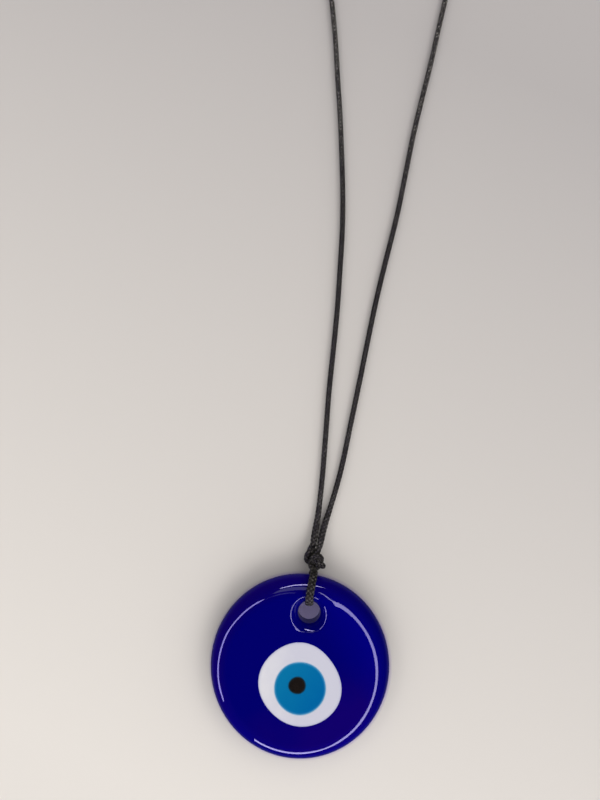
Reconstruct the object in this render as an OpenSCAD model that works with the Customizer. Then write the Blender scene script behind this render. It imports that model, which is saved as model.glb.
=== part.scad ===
// Evil eye pendant: a poured glass disc with a fused eye, lying face up on a table,
// hung by a knotted loop on a waxed cord that goes all the way round to its tie.
// Seen from above, +Y runs from the disc up the cord and +X is to the right.

/* [Glass disc] */
// Outer diameter of the disc
disc_d = 45; // [40:0.5:52]
// Thickness of the disc
disc_t = 6.6; // [6:0.1:7.6]
// Radius of the small rounding round the back; the front takes what is left of the thickness
back_round = 1.8; // [1.4:0.1:2.2]

/* [Hanging hole] */
// Radius of the hole's straight wall
hole_r = 2.75; // [2.6:0.05:3.2]
// Hole centre, to the right of the disc's centre
hole_x = 2.3; // [0:0.1:4]
// Glass left between the hole's wall and the disc's outer edge
web_w = 6.1; // [6:0.1:8]
// Rounding of the hole's mouth at the front
mouth_front = 2.4; // [1:0.1:2.6]
// Rounding of the hole's mouth at the back
mouth_back = 0.9; // [0.6:0.1:1.2]

/* [Eye] */
// Mean radius of the white drop
white_r = 10; // [9:0.05:10.6]
// Depth of the white drop in the glass
white_t = 1.8; // [1.4:0.1:2.4]
// Drop of the white centre below the disc's centre
white_drop = 3.2; // [2.5:0.05:5]
// Radius of the light blue drop
iris_r = 6.2; // [5.4:0.1:7]
// Depth of the light blue drop in the white
iris_t = 1.1; // [0.9:0.1:1.3]
// Drop of the light blue centre below the disc's centre
iris_drop = 4.05; // [3.6:0.05:5]
// Radius of the pupil
pupil_r = 1.97; // [1.6:0.01:2.4]
// Depth of the pupil in the light blue
pupil_t = 0.6; // [0.4:0.1:0.7]
// Pupil centre, to the left of the disc's centre
pupil_left = 0.7; // [0:0.05:1]
// Drop of the pupil's centre below the disc's centre
pupil_drop = 3.35; // [2.9:0.05:4.5]
// Hairline between one drop of glass and the next
glass_gap = 0.03; // [0.02:0.01:0.06]

/* [Cord] */
// Diameter of the waxed cord
cord_d = 1.5; // [1.2:0.1:1.5]
// Where the cords start, to the right of the disc's centre
hang_x = 2.5; // [0:0.1:4]
// Width of the cord where it is pulled flat over the glass
loop_w = 2.1; // [1.8:0.1:2.4]
// Thickness of the cord where it is pulled flat over the glass
loop_t = 1.2; // [1:0.1:1.3]
// Clearance between the loop and the glass
loop_gap = 0.1; // [0.05:0.01:0.2]
// Height of the lying cord's underside over the table
table_gap = 0.05; // [0.02:0.01:0.1]

/* [Hidden] */

cobalt = [0.03, 0.03, 0.42];
milk = [0.92, 0.92, 0.95];
sky = [0.0, 0.50, 0.70];
bark = [0.10, 0.07, 0.06];
wax = [0.15, 0.14, 0.13];

overcut = 1;
curve_fn = 96;
cord_sides = 8;
steps_per_span = 2;
arc_step = 15;
outline_step = 4;

disc_r = disc_d / 2;
front_round = disc_t - back_round;
wall_y = disc_r - web_w;
hole_y = wall_y - hole_r;

// The loop runs under the disc's upper edge, so the disc leans on it and on its own lower edge.
loop_off = loop_gap + loop_t / 2;
lean_arm = wall_y + mouth_back + disc_r - back_round;
lean = asin((loop_t + 2 * loop_gap) / lean_arm);
seat_z = (disc_r - back_round) * sin(lean) + back_round * (1 - cos(lean));
seat_y = back_round * sin(lean) + (front_round - back_round) * (1 - cos(lean)) / 2;

// The white drop's outline: waves laid on a circle, each with its share of the radius.
WAVE_LOBES = 0;
WAVE_SHARE = 1;
WAVE_TURN = 2;
white_waves = [[2, 0.033, -40], [3, 0.012, -39], [4, 0.012, -10]];

function sum(v, i = 0) = i < len(v) ? v[i] + sum(v, i + 1) : 0;
function white_radius(angle) =
    white_r * (1 + sum([for (w = white_waves)
        w[WAVE_SHARE] * cos(w[WAVE_LOBES] * (angle - w[WAVE_TURN]))]));
function white_outline(grow) =
    [for (a = [0 : outline_step : 359]) (white_radius(a) + grow) * [cos(a), sin(a)]];

// The cords start at the disc's upper edge, near the hole, and lie on the table.
hang_at = [hang_x, disc_r, cord_d / 2 + table_gap];
knot_at = hang_at + [1.4, 3.4, 1.45];
tie_at = hang_at + [24.5, 235, 0.9];

// Routes of the cords, from the pendant's knot to the tie. Each row is x, y, z from hang_at.
left_route = [
    [0.9, 6.8, 1.2], [1.4, 10, 0.6], [2.3, 15, 0.1], [3.4, 24.5, 0], [4.4, 36.5, 0],
    [5.3, 47.5, 0], [6.6, 59.5, 0], [7.6, 69.5, 0], [8.4, 80.5, 0], [9.1, 91.5, 0],
    [9.3, 101.5, 0], [9.1, 112.5, 0], [8.7, 124.5, 0], [8.1, 135.5, 0], [7.5, 147.5, 0],
    [6.4, 160.5, 0], [4.9, 173.5, 0], [3.6, 185.5, 0], [3.2, 197.5, 0], [4.7, 209.5, 0],
    [8.8, 220.5, 0], [14.9, 229.1, 0], [19, 232.8, 0.3], [21.8, 234.7, 0.8]];
right_route = [
    [2.6, 6.7, 1.4], [3.2, 9.3, 0.7], [4.3, 13, 0.1], [6.4, 19.5, 0], [8.5, 27, 0],
    [11, 38.5, 0], [13.5, 50, 0], [15.8, 61, 0], [18.2, 72, 0], [20.8, 82.5, 0],
    [23.9, 94.5, 0], [26.5, 106.5, 0], [29, 118.5, 0], [31.7, 129.5, 0], [34.5, 140.5, 0],
    [36.7, 150, 0], [39.4, 161.5, 0], [41.9, 173.5, 0], [44.1, 185.5, 0], [45.3, 197.5, 0],
    [44.5, 209.5, 0], [40.8, 220.5, 0], [34.5, 229.1, 0], [30.3, 232.8, 0.3], [27.3, 234.7, 0.8]];

// Turns of the two knots, each a row of points from the knot's centre, in cord diameters.
knot_turns = [
    [[-0.3, 1.6, 0.2], [-0.9, 1.3, 0.6], [-1.2, 0.5, 0.7], [-1.1, -0.3, 0.5], [-0.5, -0.9, 0.1]],
    [[0.5, 1.6, 0.1], [0.1, 0.9, 0.7], [-0.6, 0.3, 0.8], [-1.0, -0.5, 0.3], [-0.6, -1.0, -0.2]],
    [[-0.8, -0.7, 0.3], [-0.1, -0.6, 0.9], [0.6, -0.3, 0.8], [0.9, 0.2, 0.2], [0.5, 0.6, -0.4]],
    [[-0.6, -1.3, 0.1], [0.1, -1.1, 0.6], [0.8, -0.8, 0.6], [1.1, -0.4, -0.1], [0.6, 0.3, -0.6]],
    [[0.4, -0.2, 0.4], [1.0, -0.3, 0.5], [1.3, -0.9, 0.3], [1.0, -1.3, 0.1], [0.4, -1.1, -0.2]],
    [[-1.1, 0.7, -0.2], [-0.4, 0.4, -0.8], [0.5, 0.1, -0.9], [1.0, -0.5, -0.5], [0.8, -1.0, 0.0]],
    [[-1.0, -0.3, -0.3], [-0.3, -0.5, -0.9], [0.4, -0.6, -0.9], [0.8, -0.9, -0.4], [0.3, -1.3, 0.1]]];
tie_turns = [
    [[-1.3, 0.1, -0.1], [-0.7, 0.6, 0.3], [0.1, 0.5, 0.7], [0.7, -0.3, 0.5], [0.3, -0.9, 0.0]],
    [[1.3, -0.1, -0.1], [0.7, -0.6, 0.3], [-0.1, -0.5, 0.6], [-0.7, 0.3, 0.4], [-0.3, 0.9, -0.1]],
    [[-0.6, 0.6, 0.0], [-0.6, -0.1, -0.5], [-0.1, -0.6, -0.5], [0.6, -0.6, 0.0], [0.8, 0.0, 0.2]],
    [[0.3, -0.6, 0.1], [0.6, -1.6, -0.2], [1.2, -2.7, -0.5], [1.7, -4.0, -0.6], [1.7, -5.2, -0.6]],
    [[-0.3, -0.6, 0.1], [-0.5, -1.7, -0.2], [-0.9, -2.9, -0.5], [-1.6, -3.9, -0.6], [-2.5, -4.6, -0.6]]];
core_share = 0.85;

function unit(v) = v / norm(v);
function clamped(p, i) = p[max(0, min(len(p) - 1, i))];

// A smooth curve through every point of a route.
function between(p, i, t) =
    let (a = clamped(p, i - 1), b = p[i], c = p[i + 1], d = clamped(p, i + 2))
    0.5 * (2 * b + (c - a) * t + (2 * a - 5 * b + 4 * c - d) * t * t
        + (3 * b - a - 3 * c + d) * t * t * t);
function smooth(p, steps) =
    [for (i = [0 : len(p) - 2]) for (k = [0 : steps - 1]) between(p, i, k / steps), p[len(p) - 1]];
function heading(p, i) = unit(clamped(p, i + 1) - clamped(p, i - 1));
function square_to(axis, t) = unit(axis - (axis * t) * t);

// A flattened tube along a path: half_a lies along the given axis and half_b square to it.
module sweep(path, axis, half_a, half_b) {
    n = cord_sides;
    rings = [for (i = [0 : len(path) - 1])
        let (t = heading(path, i), u = square_to(axis, t), v = cross(u, t))
        for (k = [0 : n - 1])
            path[i] + half_a * cos((k + 0.5) * 360 / n) * u + half_b * sin((k + 0.5) * 360 / n) * v];
    last = (len(path) - 1) * n;
    sides = [for (i = [0 : len(path) - 2]) for (k = [0 : n - 1])
        [i * n + k, i * n + (k + 1) % n, (i + 1) * n + (k + 1) % n, (i + 1) * n + k]];
    ends = [[for (k = [n - 1 : -1 : 0]) k], [for (k = [0 : n - 1]) last + k]];
    polyhedron(points = rings, faces = concat(sides, ends), convexity = 6);
}

// Puts what belongs to the disc where it rests: leaning on the loop, centred on the origin.
module seated() {
    translate([0, seat_y, seat_z]) rotate([lean, 0, 0]) children();
}

// A quarter of a circle, rounding one edge of the disc's section.
module rounded_edge(r, y0) {
    translate([disc_r - r, back_round]) intersection() {
        circle(r = r, $fn = curve_fn);
        translate([0, y0]) square(r);
    }
}

module disc_body() {
    rotate_extrude($fn = 2 * curve_fn) {
        rounded_edge(front_round, 0);
        rounded_edge(back_round, -back_round);
        square([disc_r - back_round, back_round]);
        square([disc_r - front_round, disc_t]);
    }
}

// What a rounded mouth takes from the disc: a square corner less a circle, in the hole's section.
module mouth(r, corner_y, centre_y) {
    difference() {
        translate([0, corner_y]) square([hole_r + r, r + overcut]);
        translate([hole_r + r, centre_y]) circle(r = r, $fn = curve_fn);
    }
}

// The hole: a straight wall whose two mouths open in a rounded flare.
module hole_cut() {
    translate([hole_x, hole_y, 0]) rotate_extrude($fn = curve_fn) {
        translate([0, -overcut]) square([hole_r, disc_t + 2 * overcut]);
        mouth(mouth_front, disc_t - mouth_front, disc_t - mouth_front);
        mouth(mouth_back, -overcut, mouth_back);
    }
}

module white_blank(depth, grow) {
    translate([0, -white_drop, disc_t - depth]) linear_extrude(depth + overcut)
        polygon(white_outline(grow));
}

module iris_blank(depth, grow) {
    translate([0, -iris_drop, disc_t - depth])
        cylinder(r = iris_r + grow, h = depth + overcut, $fn = curve_fn);
}

module pupil_blank(depth, grow) {
    translate([-pupil_left, -pupil_drop, disc_t - depth])
        cylinder(r = pupil_r + grow, h = depth + overcut, $fn = curve_fn);
}

// Everything above the face of the disc, taken off the drops so that they end flush.
module above_face() {
    translate([-disc_r, -disc_r, disc_t]) cube([disc_d, disc_d, 2 * overcut]);
}

module glass_disc() {
    color(cobalt) seated() difference() {
        disc_body();
        hole_cut();
        white_blank(white_t, 0);
    }
}

module eye_white() {
    color(milk) seated() difference() {
        white_blank(white_t - glass_gap, -glass_gap);
        iris_blank(iris_t, 0);
        above_face();
    }
}

module eye_iris() {
    color(sky) seated() difference() {
        iris_blank(iris_t - glass_gap, -glass_gap);
        pupil_blank(pupil_t, 0);
        above_face();
    }
}

module eye_pupil() {
    color(bark) seated() difference() {
        pupil_blank(pupil_t - glass_gap, -glass_gap);
        above_face();
    }
}

// The loop's path round the glass between the hole and the edge, as y and z in the disc's frame.
function arc_yz(cy, cz, r, from, to) =
    let (n = max(1, round(abs(to - from) / arc_step)))
    [for (i = [0 : n]) let (a = from + (to - from) * i / n) [cy + r * cos(a), cz + r * sin(a)]];
loop_front_end = 6;
loop_back_end = 290;
loop_crest_y = wall_y + mouth_front;
crest_margin = 0.3;
over_rim = arc_yz(disc_r - front_round, back_round, front_round + loop_off, loop_front_end, 90);
loop_yz = concat(
    [for (p = over_rim) if (p[0] > loop_crest_y + crest_margin) p],
    arc_yz(loop_crest_y, disc_t - mouth_front, mouth_front + loop_off, 90, 180),
    arc_yz(wall_y + mouth_back, mouth_back, mouth_back + loop_off, 180, 270),
    arc_yz(disc_r - back_round, back_round, back_round + loop_off, 270, loop_back_end),
    [[disc_r + loop_off, -loop_off / 2]]);
loop_top_x = hang_x + 1.13;
loop_lean_x = (loop_top_x - hole_x) / (loop_yz[0][0] - wall_y);
loop_path = [for (p = loop_yz) [hole_x + loop_lean_x * (p[0] - wall_y), p[0], p[1]]];

module hanging_loop() {
    color(wax) seated() sweep(loop_path, [1, 0, 0], loop_w / 2, loop_t / 2);
}

// A knot: each turn is a chain of rounded links, all closed round a core.
module knot(at, list) {
    translate(at) {
        for (t = list) let (path = smooth(cord_d * t, steps_per_span))
            for (i = [0 : len(path) - 2]) hull() {
                translate(path[i]) sphere(d = cord_d, $fn = cord_sides);
                translate(path[i + 1]) sphere(d = cord_d, $fn = cord_sides);
            }
        sphere(r = core_share * cord_d, $fn = 2 * cord_sides);
    }
}

module cord_knot() {
    color(wax) knot(knot_at, knot_turns);
}

module tie_knot() {
    color(wax) knot(tie_at, tie_turns);
}

// A round cord lying along one of the routes.
module neck_cord(route) {
    translate(hang_at) sweep(smooth(route, steps_per_span), [0, 0, 1], cord_d / 2, cord_d / 2);
}

module neck_cord_left() {
    color(wax) neck_cord(left_route);
}

module neck_cord_right() {
    color(wax) neck_cord(right_route);
}

glass_disc();
eye_white();
eye_iris();
eye_pupil();
hanging_loop();
cord_knot();
neck_cord_left();
neck_cord_right();
tie_knot();
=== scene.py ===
# %% [markdown]
# This lesson dresses a imported model of an evil eye pendant: a poured glass disc with a fused eye,
# hung by a knotted loop on a waxed cord. The imported model is the frame. It says where each piece is
# and how big it is, and the looks are built around it.

# %% The frame
import math
import bpy
import numpy as np
from numpy.linalg import norm
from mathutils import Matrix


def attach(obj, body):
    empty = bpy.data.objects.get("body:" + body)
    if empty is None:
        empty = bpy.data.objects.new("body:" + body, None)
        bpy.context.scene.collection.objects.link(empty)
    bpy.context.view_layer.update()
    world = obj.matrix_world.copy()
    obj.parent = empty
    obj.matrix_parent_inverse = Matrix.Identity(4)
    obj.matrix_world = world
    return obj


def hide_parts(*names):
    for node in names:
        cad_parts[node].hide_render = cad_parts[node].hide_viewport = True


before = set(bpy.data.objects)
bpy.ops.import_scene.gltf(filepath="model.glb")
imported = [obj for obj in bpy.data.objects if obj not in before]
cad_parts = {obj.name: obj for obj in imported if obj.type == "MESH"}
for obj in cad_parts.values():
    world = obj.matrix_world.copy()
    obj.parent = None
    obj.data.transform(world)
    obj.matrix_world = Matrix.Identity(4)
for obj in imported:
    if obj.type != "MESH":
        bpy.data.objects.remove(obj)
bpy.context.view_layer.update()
MM = 0.001
TURN = 2 * math.pi
scene = bpy.context.scene

# %% [markdown]
# The photograph was taken from nearly straight above, with the camera leaning a little towards the
# neck. The disc is round, so its outline in the photograph gives the camera's height, its place
# along the cord and its lean. A lens is set by its focal length in pixels.

# %% Camera
CAMERA_PLACE = (0.0, 51.63, 160.41)
CAMERA_LEAN = 5.57
PHOTO_WIDE, PHOTO_HIGH = 600, 800
FOCAL_PIXELS = 602

lens = bpy.data.cameras.new("camera")
lens.lens = FOCAL_PIXELS / max(PHOTO_WIDE, PHOTO_HIGH) * lens.sensor_width
lens.clip_start = 0.005
camera = bpy.data.objects.new("camera", lens)
camera.location = [x * MM for x in CAMERA_PLACE]
camera.rotation_euler = (math.radians(CAMERA_LEAN), 0, 0)
scene.collection.objects.link(camera)
scene.camera = camera
print("focal length:", round(lens.lens, 2), "mm on a sensor of", lens.sensor_width, "mm")

# %% [markdown]
# A cord is limp but it has a length. The real one lies on the table in two strands, up from the
# pendant's knot and round to the tie at the nape. Each strand's centreline is a list of places, the
# same as in the plain model, with a smooth curve through them. They are counted from the disc's
# upper edge, over the hole.

# %% Routes of the neck cord
CORD_D = 1.5
HANG_AT = np.array([2.5, 22.5, 0.8])
LEFT_ROUTE = [
    [0.9, 6.8, 1.2], [1.4, 10, 0.6], [2.3, 15, 0.1], [3.4, 24.5, 0], [4.4, 36.5, 0],
    [5.3, 47.5, 0], [6.6, 59.5, 0], [7.6, 69.5, 0], [8.4, 80.5, 0], [9.1, 91.5, 0],
    [9.3, 101.5, 0], [9.1, 112.5, 0], [8.7, 124.5, 0], [8.1, 135.5, 0], [7.5, 147.5, 0],
    [6.4, 160.5, 0], [4.9, 173.5, 0], [3.6, 185.5, 0], [3.2, 197.5, 0], [4.7, 209.5, 0],
    [8.8, 220.5, 0], [14.9, 229.1, 0], [19, 232.8, 0.3], [21.8, 234.7, 0.8]]
RIGHT_ROUTE = [
    [2.6, 6.7, 1.4], [3.2, 9.3, 0.7], [4.3, 13, 0.1], [6.4, 19.5, 0], [8.5, 27, 0],
    [11, 38.5, 0], [13.5, 50, 0], [15.8, 61, 0], [18.2, 72, 0], [20.8, 82.5, 0],
    [23.9, 94.5, 0], [26.5, 106.5, 0], [29, 118.5, 0], [31.7, 129.5, 0], [34.5, 140.5, 0],
    [36.7, 150, 0], [39.4, 161.5, 0], [41.9, 173.5, 0], [44.1, 185.5, 0], [45.3, 197.5, 0],
    [44.5, 209.5, 0], [40.8, 220.5, 0], [34.5, 229.1, 0], [30.3, 232.8, 0.3], [27.3, 234.7, 0.8]]
ROUTE_STEPS = 8


def smooth(points, steps):
    """A smooth curve through every point, with that many steps from one point to the next."""
    p = np.array(points, float)
    padded = np.vstack([p[:1], p, p[-1:]])
    t = np.linspace(0, 1, steps, endpoint=False)[:, None]
    spans = []
    for a, b, c, d in zip(padded, padded[1:], padded[2:], padded[3:]):
        linear = (c - a) * t
        square = (2 * a - 5 * b + 4 * c - d) * t ** 2
        cubic = (3 * b - a - 3 * c + d) * t ** 3
        spans.append(0.5 * (2 * b + linear + square + cubic))
    return np.vstack(spans + [p[-1:]])


def length_of(points):
    """The length of a line of points."""
    return float(norm(np.diff(points, axis=0), axis=1).sum())


def spread(points, count):
    """The same line with so many points, evenly spaced."""
    gone = np.r_[0, np.cumsum(norm(np.diff(points, axis=0), axis=1))]
    marks = np.linspace(0, gone[-1], count)
    return np.stack([np.interp(marks, gone, axis) for axis in points.T], 1)


def headings(points):
    """The direction of a line at each of its points."""
    t = np.gradient(points, axis=0)
    return t / norm(t, axis=1)[:, None]


left_line = smooth(HANG_AT + LEFT_ROUTE, ROUTE_STEPS)
right_line = smooth(HANG_AT + RIGHT_ROUTE, ROUTE_STEPS)
print("neck cord, left and right, mm:", round(length_of(left_line), 1), round(length_of(right_line), 1))

# %% [markdown]
# The trees of nodes for the braid and for the glass hold long formulas. A small class lets a
# formula be written as one: each sign between two fields adds one Math node. It serves the finishes
# too. What a tree has grown is turned into a plain mesh, so that no modifier is left on a piece.

# %% Formulas in a node tree
def math_node(operation, turned=False):
    """A method that adds a Math node for a field and what it is joined with."""
    def method(self, *others):
        node = self.tree.add("ShaderNodeMath", operation=operation)
        for socket, value in zip(node.inputs, (*others, self) if turned else (self, *others)):
            self.tree.feed(socket, value)
        return Field(self.tree, node.outputs[0])
    return method


class Field:
    """A value in a node tree. Signs and methods on it add Math nodes."""

    def __init__(self, tree, socket):
        self.tree = tree
        self.socket = socket

    def into(self, node, key):
        self.tree.feed(node.inputs[key], self)

    __add__ = __radd__ = math_node("ADD")
    __mul__ = __rmul__ = math_node("MULTIPLY")
    __sub__, __rsub__ = math_node("SUBTRACT"), math_node("SUBTRACT", turned=True)
    __truediv__ = math_node("DIVIDE")
    root, cos, sin, floor = [math_node(key) for key in ("SQRT", "COSINE", "SINE", "FLOOR")]
    at_least, at_most = math_node("MAXIMUM"), math_node("MINIMUM")


class Tree:
    """A node tree, with a short way to add a node and to feed it."""

    def __init__(self, tree):
        self.tree = tree

    def feed(self, socket, value):
        if isinstance(value, Field):
            value = value.socket
        if isinstance(value, bpy.types.NodeSocket):
            self.tree.links.new(value, socket)
        else:
            socket.default_value = value

    def add(self, kind, feeds=None, **settings):
        node = self.tree.nodes.new(kind)
        for key, value in settings.items():
            setattr(node, key, value)
        for key, value in (feeds or {}).items():
            self.feed(self.find(node.inputs, key), value)
        return node

    def find(self, sockets, key):
        """The socket of that number, or the first one in use with that name."""
        if isinstance(key, int):
            return sockets[key]
        return next(s for s in sockets if s.name == key and s.enabled)

    def value(self, kind, feeds=None, output=0, **settings):
        """A node's output as a field."""
        node = self.add(kind, feeds, **settings)
        return Field(self, self.find(node.outputs, output))

    def vector(self, operation, *values, output=0):
        """A Vector Math node's output."""
        node = self.add("ShaderNodeVectorMath", operation=operation)
        sockets = [s for s in node.inputs if s.enabled]
        for socket, value in zip(sockets, values):
            self.feed(socket, value)
        return Field(self, node.outputs[output])

    def store(self, points, name, value, kind="FLOAT"):
        """Points with a value stored on each of them under a name."""
        return self.value("GeometryNodeStoreNamedAttribute", data_type=kind, domain="POINT",
                          feeds={0: points, "Name": name, "Value": value})

    def kept(self, name, kind="FLOAT"):
        """What is stored under a name on the points."""
        return self.value("GeometryNodeInputNamedAttribute", {"Name": name}, "Attribute",
                          data_type=kind)

    def close(self, result, shape, material):
        """The end of a tree: smooth, real faces with a material."""
        shaded = self.value("GeometryNodeSetShadeSmooth", {0: shape})
        real = self.value("GeometryNodeRealizeInstances", {0: shaded})
        self.feed(result, self.value("GeometryNodeSetMaterial", {0: real, "Material": material}))


def geometry_tree(name, sizes):
    """A Geometry Nodes tree with named inputs. Returns it, its inputs as fields, and its output."""
    group = bpy.data.node_groups.new(name, "GeometryNodeTree")
    tree = Tree(group)
    kinds = {"Start": "Geometry", **dict.fromkeys(sizes, "Float"), "Finish": "Material"}
    for key, kind in kinds.items():
        socket = group.interface.new_socket(key, in_out="INPUT", socket_type="NodeSocket" + kind)
        if key in sizes:
            socket.default_value = sizes[key]
    group.interface.new_socket("Result", in_out="OUTPUT", socket_type="NodeSocketGeometry")
    entry = group.nodes.new("NodeGroupInput")
    inputs = {s.name: Field(tree, s) for s in entry.outputs if s.name}
    return tree, inputs, group.nodes.new("NodeGroupOutput").inputs[0]


def new_mesh(name, points, edges=(), faces=()):
    """A mesh from its points, in metres, and its edges or faces."""
    mesh = bpy.data.meshes.new(name)
    mesh.from_pydata([tuple(p) for p in points], edges, faces)
    return mesh


def keep_attribute(mesh, name, values, kind="FLOAT"):
    """Stores one value for each point of a mesh."""
    attribute = mesh.attributes.new(name, kind, "POINT")
    field = "vector" if kind == "FLOAT_VECTOR" else "value"
    attribute.data.foreach_set(field, np.asarray(values, np.float32).ravel())


def plain_object(name, mesh):
    """A new object that shows a mesh, at the origin."""
    made = bpy.data.objects.new(name, mesh)
    scene.collection.objects.link(made)
    return made


def plain_mesh(shape):
    """What an object's modifiers make of it, as a mesh of its own."""
    graph = bpy.context.evaluated_depsgraph_get()
    mesh = bpy.data.meshes.new_from_object(shape.evaluated_get(graph))
    print(shape.name, "gives", sum(len(p.vertices) - 2 for p in mesh.polygons), "triangles")
    return mesh


def grow(name, start, tree, material):
    """Runs a tree on a mesh, and returns what has grown as a plain object."""
    seed = plain_object(name + "_seed", start)
    modifier = seed.modifiers.new("grow", "NODES")
    modifier.node_group = tree.tree
    for item in tree.tree.interface.items_tree:
        if item.in_out == "INPUT" and item.name == "Finish":
            modifier[item.identifier] = material
    grown = plain_mesh(seed)
    bpy.data.objects.remove(seed)
    grown.name = name
    return plain_object(name, grown)

# %% [markdown]
# Waxed cotton cord is a tube braided from eight yarns round a straight core and drawn through wax.
# Four yarns wind one way and four the other, and each passes over one and under the next. A texture
# would fake this, but the outline of a braid is bumpy and its glints move, so it is real geometry.
# Geometry Nodes make eight copies of the centreline, wind them, lift and sink them, and give them a
# flat yarn's section.

# %% The braid
CARRIERS, SECTION_SIDES, CORE_SIDES = 4, 6, 8
WANDER_SCALE, SEED_STEP, FIBRE_STEP = 900, 17.3, 0.1


def braid_tree():
    """Winds yarns round a path. Its points hold a side, half a width and thickness, and the length
    gone before them."""
    sizes = {"Turn": 4.2 * MM, "Yarn width": 0.62 * MM, "Yarn thickness": 0.26 * MM,
             "Relief": 0.17 * MM, "Core radius": 0.4 * MM, "Step": 0.17 * MM, "Unevenness": 0.35}
    tree, size, result = geometry_tree("Braid along a path", sizes)
    path = tree.value("GeometryNodeMeshToCurve", {"Mesh": size["Start"]})
    path = tree.value("GeometryNodeResampleCurve", {0: path, "Length": size["Step"]}, mode="LENGTH")
    copies = tree.add("GeometryNodeDuplicateElements", {0: path, "Amount": 2 * CARRIERS},
                      domain="SPLINE")
    yarns = Field(tree, copies.outputs[0])
    number = Field(tree, copies.outputs[1])
    along = tree.kept("gone")
    tangent = tree.value("GeometryNodeInputTangent")
    side = tree.kept("side", "FLOAT_VECTOR")
    across = tree.vector("NORMALIZE", tree.vector("CROSS_PRODUCT", tangent, side))
    level = tree.vector("CROSS_PRODUCT", across, tangent)

    pair = (number / 2).floor()
    way = 1 - 2 * (number - pair * 2)
    place = along * WANDER_SCALE + number * SEED_STEP
    wander = tree.value("ShaderNodeTexNoise", {"W": place, "Scale": 1.0},
                        noise_dimensions="1D") - 0.5
    turns = along / size["Turn"]
    angle = way * turns * TURN + pair * (TURN / CARRIERS) + wander * size["Unevenness"]
    lift = way * (turns * (TURN * CARRIERS)).cos()
    sink = size["Yarn thickness"] * 0.5 + size["Relief"] * (0.5 - lift * 0.5)
    reach_wide = tree.kept("half_wide") - sink
    reach_thick = tree.kept("half_thick") - sink
    cos, sin = angle.cos(), angle.sin()

    def on_oval(half_wide, half_thick):
        return tree.vector("ADD", tree.vector("SCALE", level, half_wide * cos),
                           tree.vector("SCALE", across, half_thick * sin))

    move, outward = on_oval(reach_wide, reach_thick), on_oval(reach_thick, reach_wide)
    yarns = tree.store(yarns, "outward", outward, "FLOAT_VECTOR")
    yarns = tree.store(yarns, "yarn_along", along + number * FIBRE_STEP)
    yarns = tree.store(yarns, "yarn_up", lift * 0.5 + 0.5)
    yarns = tree.value("GeometryNodeSetPosition", {0: yarns, "Offset": move})
    yarns = tree.value("GeometryNodeSetCurveNormal", mode="FREE",
                       feeds={0: yarns, "Normal": tree.kept("outward", "FLOAT_VECTOR")})

    def ring(sides, radius):
        return tree.value("GeometryNodeCurvePrimitiveCircle", mode="RADIUS",
                          feeds={"Resolution": sides, "Radius": radius})

    def skin(line, section):
        return tree.value("GeometryNodeCurveToMesh", {"Curve": line, "Profile Curve": section,
                                                      "Fill Caps": True})

    flat = tree.value("ShaderNodeCombineXYZ", {"X": size["Yarn thickness"], "Y": size["Yarn width"],
                                               "Z": 1.0})
    section = tree.value("GeometryNodeTransform", {0: ring(SECTION_SIDES, 0.5), "Scale": flat})
    share = tree.value("GeometryNodeSplineParameter", output="Factor")
    braid = skin(yarns, tree.store(section, "yarn_round", share))
    core = skin(path, ring(CORE_SIDES, size["Core radius"]))
    both = tree.add("GeometryNodeJoinGeometry")
    tree.feed(both.inputs[0], braid)
    tree.feed(both.inputs[0], core)
    tree.close(result, Field(tree, both.outputs[0]), size["Finish"])
    return tree


braid = braid_tree()
print("the braid's tree has", len(braid.tree.nodes), "nodes")

# %% [markdown]
# Over the rim the two strands are tied in one overhand knot, and at the nape the cord's two ends
# are tied in another. The inside of a knot can't be drawn by hand, because cord can't pass through
# cord. So each is tied loosely by a formula, as two strands side by side along an open overhand
# knot, and is then pulled tight. This takes a second or two for each and always ends the same.

# %% Tying a loose knot
KNOT_POINTS, CURVE_SAMPLES = 72, 2000
SQUEEZED_D = 1.32
KNOT_T, KNOT_SIZE, KNOT_TALL, KNOT_DEEP = 2.15, 1.9, 1.15, -0.8
STRANDS_APART = 0.525


def sides_along(line, first):
    """A side for each point of a line: carried along it, so that it never twists round it."""
    side = np.array(first, float)
    sides = []
    for heading in headings(line):
        side = side - side.dot(heading) * heading
        side = side / norm(side)
        sides.append(side)
    return np.array(sides)


def turned_about(points, axis, degrees):
    """Points turned round the x (0), y (1) or z (2) axis."""
    a = math.radians(degrees)
    j, k = (axis + 1) % 3, (axis + 2) % 3
    turned = np.array(points, float)
    turned[:, j] = points[:, j] * math.cos(a) - points[:, k] * math.sin(a)
    turned[:, k] = points[:, j] * math.sin(a) + points[:, k] * math.cos(a)
    return turned


def loose_knot(twist, roll):
    """Two strands side by side along an open overhand knot that runs up the y axis."""
    t = np.linspace(-KNOT_T, KNOT_T, CURVE_SAMPLES)
    x = t ** 3 - 3 * t
    y = KNOT_TALL * (t ** 5 / 5 - 2 * t)
    z = KNOT_DEEP * (t ** 4 - 4 * t ** 2 + 2)
    line = spread(KNOT_SIZE * np.stack([x, y, z], 1), KNOT_POINTS)
    start = headings(line)[0]
    flat = np.array([1.0, 0, 0]) - start[0] * start
    flat = flat / norm(flat)
    a = math.radians(twist)
    side = sides_along(line, flat * math.cos(a) + np.cross(start, flat) * math.sin(a))
    apart = side * SQUEEZED_D * STRANDS_APART
    both = np.vstack([line + apart, line - apart])
    both[:, 0] *= -1
    return turned_about(both, 1, roll)

# %% [markdown]
# The ends are drawn to their places in small steps. In each, the links of both strands are brought
# to their length, stretches that lie nearer than a cord's thickness are pushed apart, and the
# strands are straightened a little, as cord resists a sharp bend. Table and rim keep the knot out.

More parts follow.
